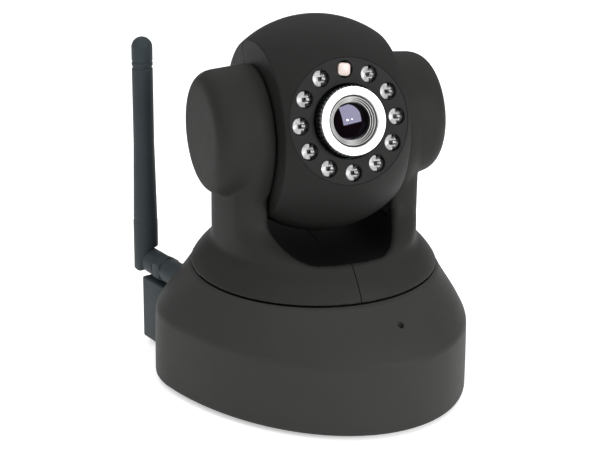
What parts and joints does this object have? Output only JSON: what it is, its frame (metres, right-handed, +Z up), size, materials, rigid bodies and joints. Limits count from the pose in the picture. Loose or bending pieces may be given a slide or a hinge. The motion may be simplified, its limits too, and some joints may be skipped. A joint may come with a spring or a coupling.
{
  "type": "security camera",
  "caption": "Desktop pan and tilt network camera: oval base, turning turret with side pods, ball head with a ring of infrared lights, focusable lens and folding antenna.",
  "frame": {"origin": "on the pan axis, in the plane that the rubber feet stand on; it is also the bottom centre of the bounding box at rest", "axes": "+Z up along the pan axis, -Y towards the front of the base, +Y towards the rear sockets, -X the side that carries the antenna"},
  "size_m": [0.0986, 0.113, 0.1191],
  "materials": {
    "charcoal_plastic": "fine matt moulded charcoal plastic",
    "slate_plastic": "satin moulded plastic, slightly bluer than the body",
    "black_plastic": "matt black moulded plastic",
    "white_plastic": "natural acetal, smooth",
    "foot_rubber": "soft matt rubber",
    "steel": "plated sheet steel",
    "silver_ring": "satin turned aluminium with a straight knurl",
    "brass": "turned brass",
    "circuit_board": "green solder mask on glass-fibre board",
    "green_connector": "green moulded connector body",
    "lens_glass": "coated lens glass with a violet reflection",
    "led_lens": "clear cast epoxy dome",
    "sensor_window": "pale pinkish light sensor window"
  },
  "bodies": {
    "base": {"base_shell": "charcoal_plastic", "base_plate": "charcoal_plastic", "rubber_foot_front_left": "foot_rubber", "rubber_foot_front_right": "foot_rubber", "rubber_foot_rear_left": "foot_rubber", "rubber_foot_rear_right": "foot_rubber", "base_screw_1": "steel", "base_screw_2": "steel", "base_screw_3": "steel", "base_screw_4": "steel", "tripod_insert": "brass", "main_board": "circuit_board", "rear_housing": "slate_plastic", "ethernet_jack": "steel", "dc_power_jack": "black_plastic", "audio_in_jack": "green_connector", "audio_out_jack": "green_connector", "io_terminal_block": "green_connector", "antenna_connector": "slate_plastic", "pan_motor": "steel", "wifi_module": "circuit_board", "microphone": "steel", "pan_bearing_ring": "white_plastic", "speaker": "black_plastic"},
    "reset": {"reset_button": "black_plastic"},
    "pan_drive": {"pan_pinion": "white_plastic"},
    "turret": {"turret_left_half": "charcoal_plastic", "turret_right_half": "charcoal_plastic", "turret_base": "black_plastic", "pan_gear": "white_plastic", "left_arm_cover": "black_plastic", "right_arm_cover": "black_plastic", "tilt_motor": "steel"},
    "tilt_drive": {"tilt_pinion": "white_plastic"},
    "head": {"head_front_shell": "charcoal_plastic", "head_rear_shell": "charcoal_plastic", "face_plate": "charcoal_plastic", "led_board": "circuit_board", "ir_led_01": "led_lens", "ir_led_02": "led_lens", "ir_led_03": "led_lens", "ir_led_04": "led_lens", "ir_led_05": "led_lens", "ir_led_06": "led_lens", "ir_led_07": "led_lens", "ir_led_08": "led_lens", "ir_led_09": "led_lens", "ir_led_10": "led_lens", "ir_led_11": "led_lens", "light_sensor": "sensor_window", "sensor_board": "circuit_board", "lens_mount": "black_plastic", "left_trunnion": "black_plastic", "tilt_gear": "white_plastic"},
    "focus": {"focus_ring": "silver_ring"},
    "lens": {"lens_barrel": "black_plastic", "front_lens": "lens_glass"},
    "antenna_base": {"antenna_knuckle": "slate_plastic"},
    "antenna": {"antenna_mast": "slate_plastic"}
  },
  "joints": [
    {"name": "pan", "type": "hinge", "parent": "base", "child": "turret", "pos_m": [0, 0, 0.0385], "axis": [0, 0, 1], "range_deg": [-134.7, 165.3]},
    {"name": "pan_pinion_turn", "type": "hinge", "parent": "base", "child": "pan_drive", "pos_m": [0, -0.0262, 0.0329], "axis": [0, 0, 1], "range_deg": [-560, 460]},
    {"name": "tilt", "type": "hinge", "parent": "turret", "child": "head", "pos_m": [0, 0, 0.08515], "axis": [0.9646, -0.2639, 0], "range_deg": [-73, 47]},
    {"name": "tilt_pinion_turn", "type": "hinge", "parent": "turret", "child": "tilt_drive", "pos_m": [0, 0, 0.09435], "axis": [0.9646, -0.2639, 0], "range_deg": [-98, 150]},
    {"name": "focus_turn", "type": "hinge", "parent": "head", "child": "focus", "pos_m": [-0.00806, -0.02947, 0.09449], "axis": [-0.2523, -0.9224, 0.2924], "range_deg": [-180, 180]},
    {"name": "lens_travel", "type": "slide", "parent": "head", "child": "lens", "axis": [-0.2523, -0.9224, 0.2924], "range_m": [-0.00026, 0.00026]},
    {"name": "antenna_swivel", "type": "hinge", "parent": "base", "child": "antenna_base", "pos_m": [-0.0313, 0.0426, 0.029], "axis": [0, 1, 0], "range_deg": [-90, 90]},
    {"name": "antenna_fold", "type": "hinge", "parent": "antenna_base", "child": "antenna", "pos_m": [-0.0313, 0.0524, 0.029], "axis": [-1, 0, 0], "range_deg": [0, 90]},
    {"name": "reset_press", "type": "slide", "parent": "base", "child": "reset", "axis": [0, 0, 1], "range_m": [0, 0.0008], "stiffness_N_per_m": 200}
  ],
  "couplings": [
    {"joint": "pan_pinion_turn", "follows": "pan", "ratio": -3.3333},
    {"joint": "tilt_pinion_turn", "follows": "tilt", "ratio": -2},
    {"joint": "lens_travel", "follows": "focus_turn", "m_per_rad": 0.000079577}
  ]
}
